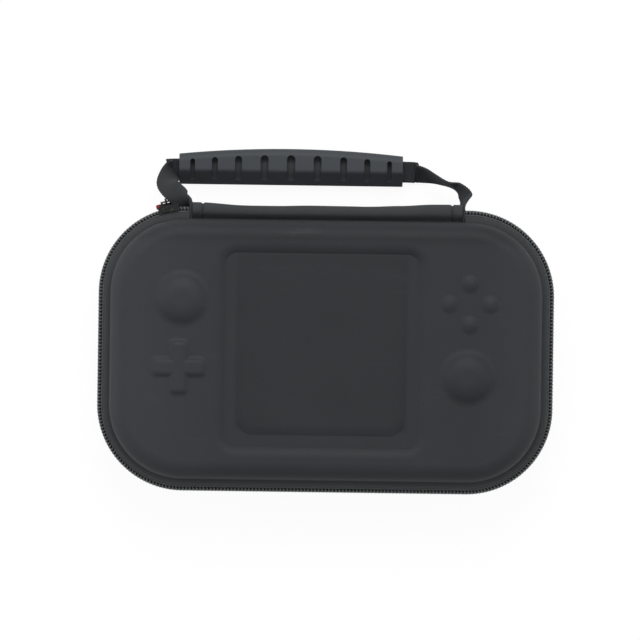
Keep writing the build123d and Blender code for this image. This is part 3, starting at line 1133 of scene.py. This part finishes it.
@dataclass
class Handle:
    """Moulded grip on one flat strap that twists down from the spine's ends."""

    half_depth: float = 59.25
    root_x: float = 56.85
    line: float = 24.5
    mouth_left: float = -64.5
    mouth_right: float = 33.1
    grip_y: float = 75.2
    grip_z: float = 4.0
    bulge: float = 7.0
    width: float = 8.8
    thick: float = 1.15
    rib: float = 1.05
    step: float = 0.26
    seam_inset: float = 2.65
    seam_tail: float = 3.4
    leave_reach: float = 1.15
    leave_drop: float = 1.3
    selvage: float = 0.45
    warps: int = 18
    warp_depth: float = 0.07
    left_turns: tuple[Turn, ...] = (
        (0.25, 0.11, 0.09, (0.55, 0.45, 0.70)),
        (0.57, 0.26, 0.19, (0.72, 0.66, 0.20)),
        (0.81, 0.45, 0.32, (0.80, 0.60, 0.05)),
        (0.82, 0.62, 0.51, (0.97, 0.24, 0.0)),
        (0.48, 0.80, 0.72, (0.90, -0.44, 0.0)),
        (0.18, 0.94, 0.90, (0.50, -0.87, 0.0)),
    )
    right_turns: tuple[Turn, ...] = (
        (0.19, 0.96, 0.95, (0.0, -0.80, -0.60)),
        (0.35, 0.91, 0.84, (0.05, -0.62, -0.78)),
        (0.54, 0.80, 0.72, (0.05, -0.32, -0.94)),
        (0.75, 0.65, 0.56, (0.0, -0.08, -1.0)),
        (0.92, 0.49, 0.41, (-0.40, -0.08, -0.91)),
        (1.03, 0.25, 0.22, (-0.46, -0.08, -0.88)),
    )

    def build(self) -> list[bpy.types.Object]:
        """Weave the strap and dress the grip.

        Returns:
            The handle's pieces.
        """
        strap = sweep("carry_strap", self.stations(), self.section(), crease=75)
        clothe(strap, STRAP_CLOTH)
        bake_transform(strap)
        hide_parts("handle_webbing")
        return [dress("handle_grip", GRIP_RUBBER), strap]

    def knots(self) -> list[tuple[Vector, Vector]]:
        """Middle line and width direction of the strap, root to root.

        Returns:
            Points in millimetres with the direction of the strap's width.
        """
        seam, leave = self.half_depth - self.seam_inset, self.half_depth + self.leave_reach
        top = self.line - self.leave_drop
        drop = top - self.grip_z
        reach = self.grip_y - leave
        tail = seam - self.seam_tail
        rising, falling = (0, 0.3, 0.95), (0, -0.3, -0.95)
        knots = [((-self.root_x, y, self.line), rising) for y in (tail, seam)]
        knots.append(((-self.root_x, leave, top), rising))
        for swing, back, down, wide in self.left_turns:
            x = -self.root_x + (self.mouth_left + self.root_x) * back - self.bulge * swing
            knots.append(((x, leave + reach * back, top - drop * down), wide))
        for share in (0.0, 0.33, 0.67, 1.0):
            x = self.mouth_left + (self.mouth_right - self.mouth_left) * share
            knots.append(((x, self.grip_y, self.grip_z), (0, -1, 0)))
        for far, back, down, wide in self.right_turns:
            x = self.mouth_right + (self.root_x - self.mouth_right) * far
            knots.append(((x, leave + reach * back, top - drop * down), wide))
        knots.append(((self.root_x, leave, top), falling))
        knots += [((self.root_x, y, self.line), falling) for y in (seam, tail)]
        return [(Vector(p), Vector(w)) for p, w in knots]

    def stations(self) -> list[Station]:
        """Closely spaced stations, the section breathing with each weft yarn.

        Returns:
            Stations in metres.
        """
        knots = self.knots()
        points = [p for p, _ in knots]
        wides = [w for _, w in knots]
        fine, ahead_by = 0.02, 0.0001
        rough = [k * fine for k in range(round((len(knots) - 1) / fine) + 1)]
        line = [through(points, s) for s in rough]
        runs = [0.0]
        for a, b in zip(line, line[1:]):
            runs.append(runs[-1] + (b - a).length)
        stations, i = [], 0
        count = round(runs[-1] / self.step)
        for k in range(count + 1):
            run = min(runs[-1] * k / count, runs[-1] - 1e-6)
            while runs[i + 1] < run:
                i += 1
            share = rough[i] + fine * (run - runs[i]) / max(runs[i + 1] - runs[i], 1e-9)
            share = min(share, len(points) - 1 - ahead_by)
            ahead = (through(points, share + ahead_by) - through(points, share)).normalized()
            wide = through(wides, share)
            wide = (wide - ahead * wide.dot(ahead)).normalized()
            beat = math.sin(TAU * run / self.rib)
            stations.append(
                Station(
                    through(points, share) * MM,
                    wide * (1 + 0.012 * beat),
                    ahead.cross(wide) * (1 + 0.09 * beat),
                    run * MM,
                )
            )
        return stations

    def section(self) -> list[Pair]:
        """Flat section with rounded selvages and shallow warp ribs."""
        half, edge, warps = self.width / 2, self.selvage, self.warps
        ribs = [half - edge - (self.width - 2 * edge) * k / warps for k in range(1, warps)]
        top = [(x, self.thick / 2 - (self.warp_depth if k % 2 else 0.0)) for k, x in enumerate(ribs)]
        corners = rounded_box(self.width, self.thick, edge)
        quarter = len(corners) // 4
        section = corners[:quarter] + top + corners[quarter : 3 * quarter]
        section += [(-x, -y) for x, y in top] + corners[3 * quarter :]
        return [(x * MM, y * MM) for x, y in section]


@dataclass
class Inside:
    """Foam bed, rim bindings, and the lid's net pocket with its elastic hem."""

    rim: RimPath = field(default_factory=lambda: RimPath(start=0.0))
    wall: float = 9.0
    net_level: float = 36.4
    net_front: float = -18.0
    cell: float = 1.15
    yarn: float = 0.62
    voxel: float = 1.1
    flat_share: float = 0.973
    binding: Spot = (1.0, 3.9, 0.42)
    stitch: float = 2.3
    stitch_pitch: float = 3.2
    stitch_off: float = 0.7
    thread: float = 0.2
    hem_size: Spot = (6.0, 1.2, 0.5)
    hem_level: float = 36.75
    hem_steps: int = 430
    ruck_pitch: float = 3.1

    def build(self) -> list[bpy.types.Object]:
        """Fit out both halves.

        Returns:
            The inner pieces.
        """
        return [self.bed(), *self.bindings(), *self.pocket()]

    def bed(self) -> bpy.types.Object:
        """Foam bed with the moulded solid's edges pressed soft."""
        bed = bpy.data.objects.new("foam_bed", frame["nodes"]["foam_cradle"].data.copy())
        bpy.context.scene.collection.objects.link(bed)
        grid = bed.modifiers.new("pressed", "REMESH")
        grid.mode = "VOXEL"
        grid.voxel_size = self.voxel * MM
        soft = bed.modifiers.new("soft", "SMOOTH")
        soft.factor = 0.5
        soft.iterations = 7
        settle(bed)
        bed.data.polygons.foreach_set("use_smooth", [True] * len(bed.data.polygons))
        clothe(bed, FOAM_VELOUR)
        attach(bed, "base")
        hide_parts("foam_cradle")
        return bed

    def bindings(self) -> list[bpy.types.Object]:
        """Ribbed tape over each rim's inner edge, with its stitches.

        Returns:
            Both tapes and both rows of stitches.
        """
        pieces = []
        end = self.rim.length()
        for body, middle, node in (("lid", 31.05, "lid_binding"), ("base", 17.95, "base_binding")):
            band = rounded_box(*self.binding)
            section = [((a - self.wall - self.binding[0] / 2) * MM, (b + middle) * MM) for a, b in band]
            stations = self.rim.stations(0.0, end, 1.6)[:-1]
            tape = sweep(f"{body}_rim_tape", stations, section, closed=True)
            marks = []
            level = middle + (self.stitch_off if body == "lid" else -self.stitch_off)
            for k in range(int(end / self.stitch_pitch)):
                point, out = self.rim.at(k * self.stitch_pitch)
                spot = (point - out * (self.wall + self.binding[0]) + UP * level) * MM
                marks.append((spot, out.cross(UP), out * -1))
            thread = stitch_row(f"{body}_rim_stitches", marks, self.stitch * MM, self.thread * MM)
            for piece, finish in ((tape, BINDING_CLOTH), (thread, STRAP_CLOTH)):
                clothe(piece, finish)
                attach(piece, body)
                pieces.append(piece)
            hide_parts(node)
        return pieces

    def pocket(self) -> list[bpy.types.Object]:
        """Net pocket and its gathered hem.

        Returns:
            The net and the hem.
        """
        net = self.net()
        hem = self.hem()
        for piece, finish, node in ((net, NET_YARN, "mesh_pocket"), (hem, BINDING_CLOTH, "pocket_hem")):
            clothe(piece, finish)
            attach(piece, "lid")
            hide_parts(node)
        return [net, hem]

    def inside_wall(self, x: float, y: float) -> Pair:
        """Nearest place within the lid's inner wall."""
        radius = self.rim.corner - self.wall
        limit_x = self.rim.half_width - self.rim.corner
        limit_y = self.rim.half_depth - self.rim.corner
        core = Vector((max(-limit_x, min(limit_x, x)), max(-limit_y, min(limit_y, y))))
        away = Vector((x, y)) - core
        if away.length > radius:
            away = away.normalized() * radius
        return (core.x + away.x, core.y + away.y)

    def net(self) -> bpy.types.Object:
        """Six-sided net drawn tight from wall to wall.

        Returns:
            The net.
        """
        side = self.cell
        wide, tall = side * math.sqrt(3), side * 1.5
        rows = int((self.rim.half_depth - self.wall - self.net_front) / tall) + 1
        columns = int(2 * (self.rim.half_width - self.wall) / wide) + 2
        spots: dict[tuple[int, int], int] = {}
        points, faces = [], []
        for row in range(rows):
            for column in range(columns):
                x = -self.rim.half_width + self.wall + (column + 0.5 * (row % 2)) * wide
                y = self.net_front + row * tall
                if math.dist(self.inside_wall(x, y), (x, y)) > 0.01:
                    continue
                face = []
                for k in range(6):
                    angle = TAU * (k + 0.5) / 6
                    corner = self.inside_wall(x + side * math.cos(angle), y + side * math.sin(angle))
                    key = (round(corner[0] * 20), round(corner[1] * 20))
                    if key not in spots:
                        spots[key] = len(points)
                        points.append(Vector((corner[0], corner[1], self.net_level)) * MM)
                    if spots[key] not in face:
                        face.append(spots[key])
                if len(face) > 2:
                    faces.append(face)
        net = make_piece("pocket_net", points, faces)
        strands = net.modifiers.new("strands", "WIREFRAME")
        strands.thickness = self.yarn * MM
        strands.use_boundary = True
        strands.use_even_offset = False
        settle(net)
        if not net.data.uv_layers:
            net.data.uv_layers.new(name="cloth")
        layer = net.data.uv_layers[0]
        for loop in net.data.loops:
            place = net.data.vertices[loop.vertex_index].co
            layer.data[loop.index].uv = (place.x, place.y)
        return net

    def hem(self) -> bpy.types.Object:
        """Elastic band along the pocket's mouth, puckered by its stitches."""
        half = self.rim.half_width - self.wall - 0.2
        places = [-half + 2 * half * k / self.hem_steps for k in range(self.hem_steps + 1)]
        stations = []
        for x in places:
            ruck = math.sin(TAU * x / self.ruck_pitch)
            y = self.net_front - self.hem_size[0] / 2 + 0.12 * ruck
            middle = Vector((x, y, self.hem_level + 0.1 * ruck)) * MM
            thick = UP * (1 + 0.12 * ruck)
            stations.append(Station(middle, Vector((0, 1, 0)), thick, (x + half) * MM))
        section = [(a * MM, b * MM) for a, b in rounded_box(*self.hem_size)]
        return sweep("pocket_elastic", stations, section)


@dataclass
class Studio:
    """White floor, soft light from behind the case, and the camera straight above it."""

    middle: Pair = (-2.5, 12.7)
    across: float = 266.7
    level: float = 24.5
    distance: float = 3000.0
    roll: float = 0.8
    floor_half: float = 3000.0
    floor_drop: float = 0.2
    glow: float = 1.1
    glow_share: float = 0.85
    lamp_size: float = 0.9
    sky_level: float = 0.29

    def build(self) -> list[bpy.types.Object]:
        """Set the stage.

        Returns:
            The floor, the lamps and the camera.
        """
        made = [self.floor(), *self.lamps(), self.camera()]
        self.sky()
        scene = bpy.context.scene
        scene.view_settings.view_transform = "Standard"
        return made

    def floor(self) -> bpy.types.Object:
        """White floor that keeps the case's shadow.

        Returns:
            The floor.
        """
        half, drop = self.floor_half * MM, self.floor_drop * MM
        corners = [Vector((x * half, y * half, -drop)) for x, y in ((-1, -1), (1, -1), (1, 1), (-1, 1))]
        floor = make_piece("floor", corners, [(0, 1, 2, 3)])
        recipe = Recipe("white_floor")
        paper = recipe.node("ShaderNodeBsdfDiffuse", {}, {"Color": (0.9, 0.9, 0.9, 1.0)})
        glow = recipe.node("ShaderNodeEmission", {}, {"Color": (1.0, 1.0, 1.0, 1.0), "Strength": self.glow})
        seen = recipe.node("ShaderNodeLightPath", output="Is Camera Ray")
        mixed = recipe.node("ShaderNodeMixShader", {}, {0: seen * self.glow_share, 1: paper, 2: glow})
        output = next(n for n in recipe.tree.nodes if n.type == "OUTPUT_MATERIAL")
        recipe.feed(output.inputs["Surface"], mixed)
        floor.data.materials.append(recipe.material)
        return floor

    def lamps(self) -> list[bpy.types.Object]:
        """Broad lamp behind the case and a weak low one at each side."""
        return [
            self.lamp("back_lamp", (0, 0.98, 1.28), 8.0),
            self.lamp("left_lamp", (-1.5, 0.1, 0.5), 3.2),
            self.lamp("right_lamp", (1.48, 0.1, 0.62), 2.2),
        ]

    def lamp(self, name: str, spot: Spot, power: float) -> bpy.types.Object:
        """Square lamp turned towards the case.

        Args:
            name: Lamp name.
            spot: Where it hangs, in metres.
            power: Its watts.

        Returns:
            The lamp.
        """
        data = bpy.data.lights.new(name, "AREA")
        data.size = self.lamp_size
        data.energy = power
        lamp = bpy.data.objects.new(name, data)
        lamp.location = spot
        aim = Vector((0, 0.01, 0.03)) - Vector(spot)
        lamp.rotation_euler = aim.to_track_quat("-Z", "Y").to_euler()
        bpy.context.scene.collection.objects.link(lamp)
        return lamp

    def sky(self) -> None:
        """Even light all round."""
        world = bpy.data.worlds.new("room_light")
        bpy.context.scene.world = world
        world.use_nodes = True
        world.node_tree.nodes["Background"].inputs["Color"].default_value = (1.0, 1.0, 1.0, 1.0)
        world.node_tree.nodes["Background"].inputs["Strength"].default_value = self.sky_level

    def camera(self) -> bpy.types.Object:
        """Long lens straight above, turned a touch."""
        data = bpy.data.cameras.new("camera")
        data.sensor_width = 36.0
        data.lens = data.sensor_width * self.distance / self.across
        camera = bpy.data.objects.new("camera", data)
        camera.location = Vector((self.middle[0], self.middle[1], self.level + self.distance)) * MM
        camera.rotation_euler = (0, 0, math.radians(self.roll))
        bpy.context.scene.collection.objects.link(camera)
        bpy.context.scene.camera = camera
        return camera


def main() -> None:
    """Build every sub-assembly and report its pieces."""
    logging.basicConfig(level=logging.INFO, format="%(name)s: %(message)s")
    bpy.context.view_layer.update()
    for part in (Shells(), Zip(), Spine(), Slider(), Handle(), Inside()):
        for piece in part.build():
            log.info("%s: %s with %d faces", type(part).__name__, piece.name, len(piece.data.polygons))
    Studio().build()


if __name__ == "__main__":
    main()
